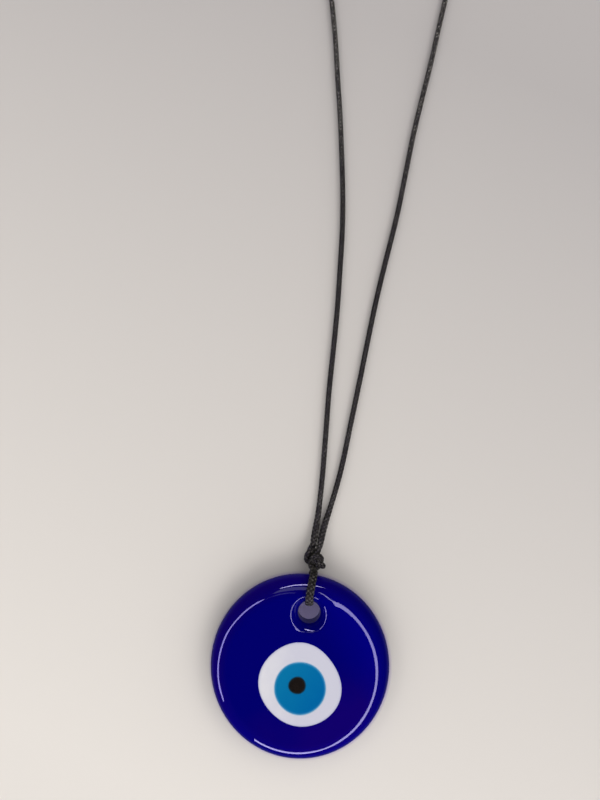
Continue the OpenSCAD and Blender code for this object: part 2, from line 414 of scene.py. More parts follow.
# %% Pulling a knot tight
KNOT_STEPS = 700
PULLING_STEPS = 0.7 * KNOT_STEPS
ROUNDS = 5
START_AWAY, START_PULL = 11, 0.05
PUSH, STIFFNESS = 0.3, 0.11
FREE_GAP, HELD_POINTS = 1.25, 3
TABLE_FROM, RIM_FROM, RIM_HIGH = 0.3, 0.8, 1.6


def push_apart(points, pairs, first_tone):
    """Moves apart every pair of points that is nearer than a cord's thickness."""
    a, b = pairs
    gap = points[b] - points[a]
    near = (gap ** 2).sum(1) < first_tone ** 2
    a, b, gap = a[near], b[near], gap[near]
    size = norm(gap, axis=1)[:, None]
    push = gap / np.maximum(size, 1e-6) * (first_tone - size) * PUSH
    total = np.zeros_like(points)
    np.add.at(total, b, push)
    np.add.at(total, a, -push)
    count = np.bincount(a, minlength=len(points)) + np.bincount(b, minlength=len(points))
    points += total / np.sqrt(np.maximum(count, 1))[:, None]


def pull_tight(points, ends, length, limits):
    """Tightens two loose strands between four ends. An end is a place and the way out of it."""
    n = KNOT_POINTS
    step = length / (n - 1)
    slots = [0, n, n - 1, 2 * n - 1]
    beside = [1, n + 1, n - 2, 2 * n - 2]
    a, b = np.triu_indices(2 * n, 1)
    far_apart = b - a > math.ceil(SQUEEZED_D * FREE_GAP / step)
    clear = (a // n != b // n) | far_apart
    clear &= ~((a % n < HELD_POINTS) & (b % n < HELD_POINTS))
    clear &= ~((a % n >= n - HELD_POINTS) & (b % n >= n - HELD_POINTS))
    pairs = (a[clear], b[clear])
    links = np.array([i for i in range(2 * n - 1) if i != n - 1])
    loose_step = norm(points[links + 1] - points[links], axis=1).mean()
    low, high, foot = limits
    for k in range(KNOT_STEPS):
        share = min(1, k / PULLING_STEPS)
        link = loose_step * (1 - share) + step * share
        away = START_AWAY * (1 - share) ** 1.5
        goals = []
        for slot, near, (place, out) in zip(slots, beside, ends):
            up = np.array([0, -1.0 if slot % n == 0 else 1.0, 0])
            out = np.array(out) / norm(out) * share + up * (1 - share)
            goal = np.array(place) + up * away
            goals.append((slot, goal))
            goals.append((near, goal - out / norm(out) * link))
        for slot, goal in goals:
            points[slot] += (goal - points[slot]) * min(1, START_PULL + share * 0.5)
        for again in range(ROUNDS):
            for odd in (0, 1):
                i = links[links % 2 == odd]
                gap = points[i + 1] - points[i]
                size = norm(gap, axis=1)[:, None]
                pull = 0.5 * (size - link) / np.maximum(size, 1e-9) * gap
                points[i] += pull
                points[i + 1] -= pull
            push_apart(points, pairs, SQUEEZED_D)
            for first in (0, n):
                strand = points[first:first + n]
                strand[1:-1] += STIFFNESS * (0.5 * (strand[2:] + strand[:-2]) - strand[1:-1])
            if share > TABLE_FROM:
                z = points[:, 2]
                z += np.maximum(low - z, 0) * 0.5 - np.maximum(z - high, 0) * 0.4
            if share > RIM_FROM:
                crossing = (points[:, 1] < foot) & (points[:, 2] < RIM_HIGH)
                points[crossing, 1] += (foot - points[crossing, 1]) * 0.5
            if share == 1:
                for slot, goal in goals:
                    points[slot] = goal
    size = norm(points[pairs[1]] - points[pairs[0]], axis=1)
    print("knot pulled tight, nearest stretches mm:", round(float(size.min()), 2))
    return points[:n], points[n:]


KNOT_TURNS = (120, 60)
STRAND_LENGTH = 19.5
KNOT_AT = HANG_AT + [1.4, 3.4, 1.45]
KNOT_ENDS = [([-0.27, -2.76, 1.75], [0, -0.1, 0.99]), ([-0.26, -2.63, -0.97], [-0.05, -1, -0.1]),
             ([-0.5, 3.4, -0.25], [0.5, 3.2, -0.6]), ([1.2, 3.3, -0.05], [0.6, 2.6, -0.7])]
KNOT_LIMITS = (-1.45, 1.9, -2.75)
front_strand, back_strand = pull_tight(loose_knot(*KNOT_TURNS), KNOT_ENDS, STRAND_LENGTH, KNOT_LIMITS)

TIE_AT = HANG_AT + [24.5, 235, 0.9]
TIE_ENDS = [([2.7, 0.3, -0.1], [2.8, 1.9, -0.5]), ([-2.8, 0.3, -0.1], [-3, 1.9, -0.5]),
            ([-0.9, 2.9, -0.8], [-0.3, 1, -0.1]), ([1.0, 2.9, -0.8], [0.5, 1, -0.1])]
TIE_LIMITS = (-0.95, 1.6, -9)
left_tie, right_tie = pull_tight(loose_knot(*KNOT_TURNS), TIE_ENDS, STRAND_LENGTH, TIE_LIMITS)

# %% [markdown]
# From one end to the other it is a single cord: tail, tie, left neck cord, knot, over the rim,
# through the hole, back under the disc, knot again, right neck cord, tie, tail. So its centreline
# is put together first and cut into the named pieces afterwards, and the braid runs on from piece
# to piece. The loop drifts a little to the right, towards the knot. The disc lies on the strand
# behind it, which tips it by 2 degrees, so the loop is drawn in the disc's frame.

# %% The whole cord
LEAN = 2.11137
SEAT = [0, 0.06733, 0.76385]
HOLE_AT = np.array([2.3, 13.65])
HOLE_R = 2.75
LOOP_ARCS = [((17.7, 1.8), 5.5, 6, 40), ((18.8, 4.2), 3.1, 42, 180), ((17.3, 0.9), 1.6, 180, 270),
             ((20.7, 1.8), 2.5, 270, 290)]
LOOP_END = (23.2, -0.35)
ARC_STEP = 6
LOOP_DRIFT = 0.029
LEFT_TAIL = [[-1.6, 5.2, -0.9], [-2.6, 7.6, -0.9]]
RIGHT_TAIL = [[2.3, 5.0, -0.9], [3.8, 6.7, -0.9]]
PATH_STEP = 0.3
KNOT_PUSH, KNOT_PRESS = np.array([-0.33, 0.3, 0]), [0.12, 0, 0]
KNOT_REACH, KNOT_RAMP = 3.4, 1.5


def seated(points):
    """Takes places in the disc's own frame to where it lies on its cord."""
    return turned_about(np.array(points, float), 0, LEAN) + SEAT


def arc(centre, radius, start, end):
    """Places along an arc, as y and z, with its angles in degrees."""
    a = np.radians(np.linspace(start, end, max(2, int(abs(end - start) / ARC_STEP))))
    return np.stack([centre[0] + radius * np.cos(a), centre[1] + radius * np.sin(a)], 1)


def squeezed(strand):
    """A strand of the knot, pressed and pushed aside in its middle but not at its ends."""
    inner = np.clip((KNOT_REACH - np.abs(strand[:, 1])) / KNOT_RAMP, 0, 1)[:, None]
    return strand * (1 - inner * KNOT_PRESS) + inner * KNOT_PUSH


wall_y = HOLE_AT[1] + HOLE_R
loop_yz = np.vstack([arc(*row) for row in LOOP_ARCS] + [[LOOP_END]])
loop_x = HOLE_AT[0] + LOOP_DRIFT * np.maximum(loop_yz[:, 0] - wall_y, 0) ** 2
loop_line = seated(np.column_stack([loop_x, loop_yz]))
mirrored = np.array([-1, -1, 1])
left_tail = TIE_AT + mirrored * smooth([left_tie[-1], *LEFT_TAIL], ROUTE_STEPS)
right_tail = TIE_AT + mirrored * smooth([right_tie[-1], *RIGHT_TAIL], ROUTE_STEPS)
stretches = [
    np.vstack([left_tail[::-1], TIE_AT + mirrored * left_tie[::-1]]), left_line[::-1],
    KNOT_AT + squeezed(front_strand[::-1]), loop_line, KNOT_AT + squeezed(back_strand),
    right_line, np.vstack([TIE_AT + mirrored * right_tie, right_tail])]
cuts = np.cumsum([0] + [length_of(s) for s in stretches])
whole = np.vstack(stretches)
whole = spread(whole, round(length_of(whole) / PATH_STEP) + 1)
gone = np.linspace(0, length_of(whole), len(whole))
cuts = cuts * gone[-1] / cuts[-1]
print("the whole cord is", round(gone[-1]), "mm long, the loop", round(length_of(loop_line), 1))

# %% [markdown]
# A braid opens a little before it enters a knot, is squeezed in it, and is flat in the loop. So
# half its width and half its thickness change along the line.

# %% Cutting the cord into pieces
ROUND_HALF, LOOSE_HALF, KNOT_HALF = CORD_D / 2, 0.95, 0.77
FLAT_WIDE, FLAT_THICK = 1.05, 0.6
OPENS, OPEN, INSIDE, FLATTENS = 11, 2, 1, 1.5
ramp = [cuts[2] - OPENS, cuts[2] - OPEN, cuts[2] + INSIDE, cuts[3] - FLATTENS, cuts[3] + FLATTENS,
        cuts[4] - FLATTENS, cuts[4] + FLATTENS, cuts[5] - INSIDE, cuts[5] + OPEN, cuts[5] + OPENS]


def halves(flat):
    """Half the cord's size at each of its points, with that size in the loop."""
    row = [ROUND_HALF, LOOSE_HALF, KNOT_HALF, KNOT_HALF, flat]
    return np.interp(gone, ramp, row + row[::-1])


half_wide, half_thick = halves(FLAT_WIDE), halves(FLAT_THICK)
middle = int(np.searchsorted(gone, (cuts[3] + cuts[4]) / 2))
to_left = sides_along(whole[:middle + 1][::-1], (1, 0, 0))[::-1]
to_right = sides_along(whole[middle:], (1, 0, 0))
sides = np.vstack([to_left, to_right[1:]])
cord_finish = bpy.data.materials.new("waxed_cord")


def braided(name, *spans):
    """A braided piece of cord: one or two spans of the whole line, each from one cut to the next."""
    links, rows = [], []
    for first, last in spans:
        row = np.flatnonzero((gone >= first - PATH_STEP / 2) & (gone <= last + PATH_STEP / 2))
        links += [(len(rows) + i, len(rows) + i + 1) for i in range(len(row) - 1)]
        rows += list(row)
    mesh = new_mesh("path", whole[rows] * MM, edges=links)
    keep_attribute(mesh, "side", sides[rows], "FLOAT_VECTOR")
    for key, values in (("gone", gone), ("half_wide", half_wide), ("half_thick", half_thick)):
        keep_attribute(mesh, key, values[rows] * MM)
    return grow(name, mesh, braid, cord_finish)


neck_left = braided("neck_cord_left_braid", cuts[1:3])
neck_right = braided("neck_cord_right_braid", cuts[5:7])
loop = braided("hanging_loop_braid", cuts[3:5])
knot = braided("cord_knot_braid", cuts[2:4], cuts[4:6])
tie = braided("tie_knot_braid", cuts[0:2], cuts[6:8])

# %% [markdown]
# The disc is poured from molten cobalt glass and pierced with a rod while it is soft, so nothing on
# it is sharp: a wide rounding runs over the rim, a small one below, and the hole opens in a flare.
# That shape follows a rule, so Geometry Nodes make it. A web of quads has rays round the hole and
# stations along each ray, from the hole's wall over the face and the rim to the back and home again.
# The tree reads where a point stands on its ray and works out its place.

# %% The glass disc
DISC_R, DISC_T = 22.5, 6.6
FRONT_ROUND, BACK_ROUND = 4.8, 1.8
MOUTH_FRONT, MOUTH_BACK = 0.7, 0.9
SLOW_SCALE, WAVE_SCALE = 55, 160


def noise(where, scale, detail=2.0):
    """Noise from 0 to 1 with blobs of about 1 / scale metres."""
    return where.tree.value("ShaderNodeTexNoise", {"Vector": where, "Scale": scale,
                                                   "Detail": detail})


def rounding(inside, radius):
    """How far a quarter circle has dropped: not at all inside, its radius at the edge."""
    part = (inside / radius).at_least(0.0).at_most(1.0)
    return radius - radius * (1 - part * part).at_least(0.0).root()


def glass_tree():
    """Shapes the disc from points that hold ray, near, rim, share and side."""
    sizes = {"Radius": DISC_R * MM, "Thickness": DISC_T * MM, "Front rounding": FRONT_ROUND * MM,
             "Back rounding": BACK_ROUND * MM, "Hole x": HOLE_AT[0] * MM, "Hole y": HOLE_AT[1] * MM,
             "Hole radius": HOLE_R * MM, "Mouth in front": MOUTH_FRONT * MM, "Shoulder": 4.4 * MM,
             "Shoulder softness": 0.4 * MM, "Shoulder slope": 0.966,
             "Mouth behind": MOUTH_BACK * MM, "Rim unevenness": 0.05, "Wave height": 0.02 * MM,
             "Lean": math.radians(LEAN), "Seat y": SEAT[1] * MM, "Seat z": SEAT[2] * MM}
    tree, size, result = geometry_tree("Poured glass disc", sizes)
    (start, disc_r, first_tone, front_round, back_round, hole_x, hole_y, hole_r, mouth_front, shoulder,
     soft, slope, mouth_back, unevenness, wave_high, lean, seat_y, seat_z, material) = size.values()
    ray, near, rim, share, side = [tree.kept(key) for key in ("ray", "near", "rim", "share", "side")]
    cos, sin = ray.cos(), ray.sin()
    inward = hole_x * cos + hole_y * sin
    off = hole_x * hole_x + hole_y * hole_y
    reach = (inward * inward - off + rim * rim).root() - inward
    away = near * (1 - share) + reach * share
    x = hole_x + away * cos
    y = hole_y + away * sin
    from_middle = (x * x + y * y).root().at_most(disc_r)
    flat = tree.value("ShaderNodeCombineXYZ", {"X": x, "Y": y})
    wide = front_round * (1 + (noise(flat, SLOW_SCALE, 0) - 0.5) * unevenness)
    rim_drop = rounding((from_middle - disc_r + wide) / wide * front_round, front_round)
    past = shoulder - away
    flare = (past + (past * past + soft * soft).root()) * slope * 0.5
    mouth_drop = flare + rounding(hole_r + mouth_front - away, mouth_front)
    wave = (noise(flat, WAVE_SCALE, 0) - 0.5) * wave_high
    front = first_tone - rim_drop - mouth_drop + wave
    back = (rounding(from_middle - disc_r + back_round, back_round)
            + rounding(hole_r + mouth_back - away, mouth_back))
    z = side * front + (1 - side) * back
    cos, sin = lean.cos(), lean.sin()
    place = tree.value("ShaderNodeCombineXYZ", {"X": x, "Y": y * cos - z * sin + seat_y,
                                                "Z": y * sin + z * cos + seat_z})
    moved = tree.value("GeometryNodeSetPosition", {0: start, "Position": place})
    tree.close(result, moved, material)
    return tree

# %% [markdown]
# The web's stations lie closer together wherever the glass curves: in the mouth, over the rim and
# under it. Along the face and the back their distances grow and shrink smoothly.

# %% The web for the glass
RAYS = 320
MOUTH_STATIONS, SHOULDER_STATIONS, FACE_STATIONS, RIM_STATIONS = 9, 29, 96, 26
FOOT_STATIONS, BACK_STATIONS, WALL_STATIONS = 12, 30, 8
SHOULDER_END, RIM_START = 5.4, 19.2


def eased(start, end, count):
    """Numbers from start to end, closer together near both."""
    return start + (end - start) * (1 - np.cos(np.linspace(0, math.pi, count))) / 2


def glass_web():
    """The web of quads that the tree shapes, with each point's place on its ray."""
    def rows(near, rim, share, side):
        return np.stack(np.broadcast_arrays(near, rim, share, side), 1)

    def opened(start, end, count):
        return 1 - np.cos(np.radians(np.linspace(start, end, count)))

    def closed(start, end, count):
        return 1 - np.sin(np.radians(np.linspace(start, end, count)))

    first = math.degrees(math.asin((RIM_START - DISC_R + FRONT_ROUND) / FRONT_ROUND))
    mouth, back_rim = HOLE_R + MOUTH_FRONT, DISC_R - BACK_ROUND
    stations = np.vstack([
        rows(HOLE_R + MOUTH_FRONT * opened(0, 90, MOUTH_STATIONS), RIM_START, 0, 1),
        rows(np.linspace(mouth, SHOULDER_END, SHOULDER_STATIONS)[1:-1], RIM_START, 0, 1),
        rows(SHOULDER_END, RIM_START, eased(0, 1, FACE_STATIONS)[:-1], 1),
        rows(SHOULDER_END, DISC_R - FRONT_ROUND * closed(first, 90, RIM_STATIONS), 1, 1),
        rows(SHOULDER_END, DISC_R - BACK_ROUND * closed(90, 0, FOOT_STATIONS)[1:], 1, 0),
        rows(HOLE_R + MOUTH_BACK, back_rim, eased(1, 0, BACK_STATIONS)[1:], 0),
        rows(HOLE_R + MOUTH_BACK * opened(90, 0, MOUTH_STATIONS)[1:], back_rim, 0, 0),
        rows(HOLE_R, back_rim, 0, np.linspace(0, 1, WALL_STATIONS)[1:-1])])
    near, rim, share, side = (np.repeat(column, RAYS) for column in stations.T)
    count = len(stations)
    starts = [(i * RAYS, (i + 1) % count * RAYS) for i in range(count)]
    pairs = [(j, (j + 1) % RAYS) for j in range(RAYS)]
    quads = [(a + j, b + j, b + k, a + k) for a, b in starts for j, k in pairs]
    mesh = new_mesh("web", np.zeros((count * RAYS, 3)), faces=quads)
    keep_attribute(mesh, "ray", np.tile(np.arange(RAYS) * TURN / RAYS, count))
    for key, values in (("near", near * MM), ("rim", rim * MM), ("share", share), ("side", side)):
        keep_attribute(mesh, key, values)
    return mesh


cobalt_finish = bpy.data.materials.new("cobalt_glass")
disc = grow("glass_disc_poured", glass_web(), glass_tree(), cobalt_finish)

# %% [markdown]
# The eye is three drops of coloured glass, dripped on one after another while the disc is soft and
# pressed flush: white, light blue and dark. Each has sunk into the one before, so each is a flat
# plug with a seat in it. The white's outline is uneven, as a dripped blob is: a circle with three
# slow waves. A plug is built from rings, from the middle of its underside over its edge to the
# middle of its seat. The colours run into one another, so each point keeps how near a border is.

# %% The drops of the eye
RING_POINTS = 180
FUSED_GAP = 0.006
EDGE_SOFT = 0.03
BORDER_TONES = [(0.12, 0.7), (0.25, 0.35), (0.45, 0.1), (0.8, 0.0)]
SHARP_FROM = math.radians(35)
WHITE_SHAPE, WHITE_T = ((0, -3.2), 10.0, [(2, 0.033, -40), (3, 0.012, -39), (4, 0.012, -10)]), 1.8
IRIS_SHAPE, IRIS_T = ((0, -4.05), 6.2, [(3, 0.004, 20), (5, 0.003, 50)]), 1.1
PUPIL_SHAPE, PUPIL_T = ((-0.7, -3.35), 1.97, [(2, 0.02, 15), (3, 0.02, 70)]), 0.6
around = np.arange(RING_POINTS) * TURN / RING_POINTS
beside = [(j, (j + 1) % RING_POINTS) for j in range(RING_POINTS)]


def outline(at, radius, waves, inset):
    """A round outline with waves in its radius."""
    r = np.full(RING_POINTS, float(radius))
    for lobes, part, turn in waves:
        r += radius * part * np.cos(lobes * (around - math.radians(turn)))
    r -= inset
    return np.stack([at[0] + r * np.cos(around), at[1] + r * np.sin(around)], 1)


def at_height(ring, z):
    """An outline's points at a height."""
    return np.column_stack([ring, np.full(len(ring), z)])


def walls(rings):
    """Quads between so many rings of points."""
    return [(i + j, i + k, i + RING_POINTS + k, i + RING_POINTS + j) for j, k in beside
            for i in range(0, (rings - 1) * RING_POINTS, RING_POINTS)]


def plug(name, shape, depth, material, seat_shape=None, seat=0):
    """A flat plug of glass, with a seat of another shape in it if one is given."""
    def outer(inset):
        return outline(*shape, inset)

    def inner(inset):
        return outline(*seat_shape, inset)

    low = DISC_T - depth + FUSED_GAP
    rings = [(outer(FUSED_GAP), low, 0), (outer(FUSED_GAP), DISC_T - EDGE_SOFT, 1),
             (outer(FUSED_GAP + EDGE_SOFT / 3), DISC_T - EDGE_SOFT / 3, 1),
             (outer(EDGE_SOFT), DISC_T, 1)]
    rings += [(outer(inset), DISC_T, tone) for inset, tone in BORDER_TONES]
    if seat_shape is None:
        middle = outer(0).mean(0)
        last_ring = rings[-1][0]
        rings += [(middle + (last_ring - middle) * s, DISC_T, 0) for s in (0.7, 0.35)]
    else:
        middle = inner(0).mean(0)
        rings += [(inner(-inset), DISC_T, -tone) for inset, tone in reversed(BORDER_TONES)]
        rings += [(inner(-EDGE_SOFT), DISC_T, -1), (inner(0), DISC_T - EDGE_SOFT, -1),
                  (inner(0), DISC_T - seat, -1)]
    points = np.vstack([at_height(ring, z) for ring, z, tone in rings]
                       + [[[*outer(0).mean(0), low], [*middle, DISC_T - seat]]])
    tones = np.r_[np.repeat([tone for ring, z, tone in rings], RING_POINTS), 0,
                  0 if seat_shape is None else -1]
    last, count = (len(rings) - 1) * RING_POINTS, len(points)
    faces = walls(len(rings)) + [(k, j, count - 2) for j, k in beside]
    faces += [(last + j, last + k, count - 1) for j, k in beside]
    mesh = new_mesh(name, seated(points) * MM, faces=faces)
    keep_attribute(mesh, "border", tones)
    mesh.polygons.foreach_set("use_smooth", [True] * len(faces))
    mesh.set_sharp_from_angle(angle=SHARP_FROM)
    mesh.materials.append(material)
    print(name, "has", len(rings), "rings and is", depth, "mm deep")
    return plain_object(name, mesh)


white_finish = bpy.data.materials.new("white_glass")
iris_finish = bpy.data.materials.new("light_blue_glass")
pupil_finish = bpy.data.materials.new("dark_glass")
white = plug("eye_white_drop", WHITE_SHAPE, WHITE_T, white_finish, IRIS_SHAPE, IRIS_T)
iris = plug("eye_iris_drop", IRIS_SHAPE, IRIS_T, iris_finish, PUPIL_SHAPE, PUPIL_T)
pupil = plug("eye_pupil_drop", PUPIL_SHAPE, PUPIL_T, pupil_finish)

# %% [markdown]
# The white's plug needs a seat in the disc. It is cut with a block of the same outline.

# %% The seat for the eye
ring = outline(*WHITE_SHAPE, 0)
block_points = np.vstack([at_height(ring, DISC_T - WHITE_T), at_height(ring, DISC_T + 1)])
caps = [tuple(range(RING_POINTS))[::-1], tuple(range(RING_POINTS, 2 * RING_POINTS))]
block = plain_object("block", new_mesh("block", seated(block_points) * MM, faces=caps + walls(2)))
cut = disc.modifiers.new("seat", "BOOLEAN")
cut.operation = "DIFFERENCE"
cut.solver = "MANIFOLD"
cut.object = block
seat_cut = plain_mesh(disc)
disc.modifiers.clear()
disc.data = seat_cut
bpy.data.objects.remove(block)
seat_cut.set_sharp_from_angle(angle=SHARP_FROM)

# %% [markdown]
# The finishes are worked out from places on the objects, so they need no pictures. A few helpers
# serve them all: a share between two limits, a colour between two colours, and bump.

# %% Helpers for finishes
def finish(material, constants):
    """Gives a material one Principled surface. Returns its tree and shader, and the place."""
    material.use_nodes = True
    tree = Tree(material.node_tree)
    shader = next(n for n in tree.tree.nodes if n.type == "BSDF_PRINCIPLED")
    for key, value in constants.items():
        shader.inputs[key].default_value = value
    return tree, shader, tree.value("ShaderNodeTexCoord", output="Object")


def parts(where):
    """The three coordinates of a place."""
    node = where.tree.add("ShaderNodeSeparateXYZ", {0: where})
    return [Field(where.tree, socket) for socket in node.outputs]


def stored(tree, name):
    """What a piece keeps on its points under a name."""
    return tree.value("ShaderNodeAttribute", output="Fac", attribute_name=name)


def stretched(value, low, high):
    """A value stretched so that low becomes 0 and high becomes 1, and kept in between."""
    return value.tree.value("ShaderNodeMapRange", {"Value": value, "From Min": low,
                                                   "From Max": high})


def blend(share, first, second):
    """A colour between two colours."""
    node = share.tree.add("ShaderNodeMix", data_type="RGBA")
    inputs = [s for s in node.inputs if s.enabled]
    for socket, value in zip(inputs, (share, first, second)):
        share.tree.feed(socket, value)
    return Field(share.tree, next(s for s in node.outputs if s.enabled))


def relief(shader, height, depth, strength=1.0):
    """Lets a height between 0 and 1 stand up by that depth in metres."""
    bump = height.tree.value("ShaderNodeBump", {"Height": height, "Distance": depth,
                                                "Strength": strength})
    bump.into(shader, "Normal")


def tell(surface):
    """Prints how much a finish is made of."""
    print(surface.name, "is worked out by", len(surface.node_tree.nodes), "nodes")

# %% [markdown]
# The glass is glossy and coloured in its mass. Real cobalt glass is so dark that light that goes in
# hardly comes back out, so it is an opaque dark blue with a clear gloss. Its colour is uneven, with
# purple patches at the lower right. A painted glow makes the face a stronger blue towards the upper
# right, and painted light through the glass makes the rim darker at the right, more purple at the
# left and bluer in front. The back was cast on a plate, so it is duller and finely rippled, while
# the face has only slow waves.

# %% Cobalt glass
GLASS = {"Roughness": 0.04, "IOR": 1.5}
SWELL_SCALE = 130
WAVE_DEPTH = 0.00012
COBALT = (0.0004, 0.0001, 0.152, 1)
PURPLE = (0.0055, 0.0001, 0.152, 1)
# Painted glow: a stronger blue for the face.
PAINTED_GLOW_BLUE = (0.0006, 0.0001, 0.21, 1)
# Painted light and shade through the glass, for the rim.
RIM_RIGHT_PAINTED_SHADE = (0.0005, 0.0001, 0.125, 1)
RIM_LEFT_PAINTED_GLOW = (0.0062, 0.0003, 0.168, 1)
RIM_FRONT_PAINTED_GLOW = (0.0012, 0.0002, 0.19, 1)
BACK_DULL = 0.3

tree, shader, where = finish(cobalt_finish, {**GLASS, "Base Color": PAINTED_GLOW_BLUE})
x, y, z = parts(where)
patches = stretched(x * 0.6 - y + noise(where, 90, 3) * 0.03, 0.018, 0.035)
# Painted glow: the face is a stronger blue towards the upper right.
face_with_painted_glow = blend(stretched(x * 0.85 + y * 0.5, 0.009, 0.018), blend(patches, COBALT, PURPLE), PAINTED_GLOW_BLUE)
from_middle = tree.vector("LENGTH", tree.vector("MULTIPLY", where, (1, 1, 0)), output="Value")
# Painted light through the glass: the rim is darker at the right, more purple at the left and bluer in
# front.
edge = blend(stretched(x, 0.018, -0.002), RIM_RIGHT_PAINTED_SHADE, RIM_LEFT_PAINTED_GLOW)
edge = blend(stretched(y, -0.004, -0.016), edge, RIM_FRONT_PAINTED_GLOW)
blend(stretched(from_middle, 0.018, 0.0215), face_with_painted_glow, edge).into(shader, "Base Color")
height = z - y * math.tan(math.radians(LEAN))
back = stretched(height, 0.0011, 0.0008)
(GLASS["Roughness"] + back * BACK_DULL).into(shader, "Roughness")
relief(shader, noise(where, SWELL_SCALE, 1) * 0.12 + noise(where, 700, 2) * back, WAVE_DEPTH)
tell(cobalt_finish)

# %% [markdown]
# White and light blue are glass made milky with fine crystals. The white is darker and bluer
# towards the right, as painted shade. The light blue is lighter at the upper left and deeper towards
# the lower right. The dark drop is brown-black. Where two drops touch, their colours run into each
# other, at a drop's own border and round the next drop. One helper dresses all three.

# %% The drops' glass
DROP_RELIEF = 0.25


def dress_drop(material, first_tone, second_tone, slant, mottle, limits, border, bleed, next_drop=None):
    """A drop's finish: two tones in its mass, one at its border, and one round the next drop."""
    tree, shader, where = finish(material, {**GLASS, "Base Color": first_tone})
    x, y, z = parts(where)
    scale, detail, part = mottle
    shade = x * slant[0] + y * slant[1] + noise(where, scale, detail) * part
    colour = blend(stretched(shade, *limits), first_tone, second_tone)
    near = stored(tree, "border")
    colour = blend(stretched(near, *border), colour, bleed)
    if next_drop:
        colour = blend(stretched(near * -1, 0.2, 1.0), colour, next_drop)
    colour.into(shader, "Base Color")
    relief(shader, noise(where, SWELL_SCALE, 1), WAVE_DEPTH, DROP_RELIEF)
    tell(material)


# The white's darker right side is painted shade.
dress_drop(white_finish, first_tone=(0.725, 0.722, 0.785, 1), second_tone=(0.622, 0.622, 0.735, 1),
           slant=(1, 0), mottle=(220, 3, 0.012), limits=(-0.003, 0.005), border=(0.0, 0.85),
           bleed=(0.44, 0.45, 0.67, 1), next_drop=(0.12, 0.38, 0.6, 1))
dress_drop(iris_finish, first_tone=(0.003, 0.176, 0.392, 1), second_tone=(0.0005, 0.13, 0.375, 1),
           slant=(1, -0.8), mottle=(300, 2, 0.004), limits=(-0.001, 0.012), border=(0.1, 1.0),
           bleed=(0.05, 0.28, 0.52, 1), next_drop=(0.008, 0.03, 0.05, 1))
dress_drop(pupil_finish, first_tone=(0.007, 0.006, 0.006, 1), second_tone=(0.016, 0.011, 0.009, 1),
           slant=(0, 0), mottle=(900, 2, 1), limits=(0, 1), border=(0.2, 1.0),
           bleed=(0.01, 0.022, 0.03, 1))

# %% [markdown]
# The cord's wax gives each yarn a soft sheen, tinted against the violet of the strips of light
# below. The crowns of the yarns are paler than the grooves, partly from wear and partly as painted
# shade in the grooves, and paler still in worn blotches. The cord is darker in its middle stretch.
# Painted glints, light specks on the crowns, are few there and many higher up. Fibres run along each
# yarn, by what the braid's tree kept on it.

# %% Waxed cord
WAXED = {"Roughness": 0.3, "IOR": 1.48, "Specular IOR Level": 0.3, "Specular Tint": (1, 0.95, 0.7, 1),
         "Base Color": (0.015, 0.014, 0.012, 1)}
DEEP_DARK = (0.004, 0.0038, 0.0032, 1)
DARK = (0.011, 0.0104, 0.0088, 1)
CROWN = (0.022, 0.021, 0.0185, 1)
WORN_CROWN = (0.08, 0.076, 0.068, 1)
# The colour of a painted glint.
PAINTED_GLINT = (0.75, 0.71, 0.65, 1)
FIBRES_ALONG, FIBRES_ROUND = 700, 22

tree, shader, where = finish(cord_finish, WAXED)
raised = stored(tree, "yarn_up")
strand = tree.value("ShaderNodeCombineXYZ", {"X": stored(tree, "yarn_along") * FIBRES_ALONG,
                                             "Y": stored(tree, "yarn_round") * FIBRES_ROUND})
fibres = noise(strand, 1.0, 3)
x, y, z = parts(where)
# Darker in the middle stretch; more painted glints higher up.
darker_middle = stretched(y, 0.055, 0.075) * stretched(y, 0.135, 0.11)
more_glints_higher = stretched(y, 0.12, 0.17)
wear = stretched(noise(where, 350, 3), 0.4, 0.75) * (1 - darker_middle * 0.5)
# Where the painted glints fall.
painted_glints = stretched(noise(where, 1600, 0), 0.42, 0.64) * (0.1 + more_glints_higher * 0.36 - darker_middle * 0.04)
# The grooves are darker than the crowns, partly as painted shade and partly from wear; worn blotches
# pale the crowns.
colour = blend(stretched(raised * 0.8 + fibres * 0.4, 0.6, 1.1),
               blend(fibres, DEEP_DARK, DARK), blend(wear, CROWN, WORN_CROWN))
# Painted glints: light specks on the crowns.
colour = blend(stretched(raised + fibres * 0.3, 0.9, 1.15) * painted_glints, colour, PAINTED_GLINT)
colour.into(shader, "Base Color")
(0.22 + fibres * 0.25).into(shader, "Roughness")
relief(shader, fibres, 0.00005, 0.7)
tell(cord_finish)

# %% [markdown]
# Glass shows what it mirrors, and in the photograph it mirrors bright strips: one at the left, one
# from the front round to the right, and narrow ones behind. They are built in the directions in
# which the rim's highlights look, a little violet as those are, the right one brighter in front.
# They light nothing but the gloss. One large soft light stands in front; the sky gives the rest.

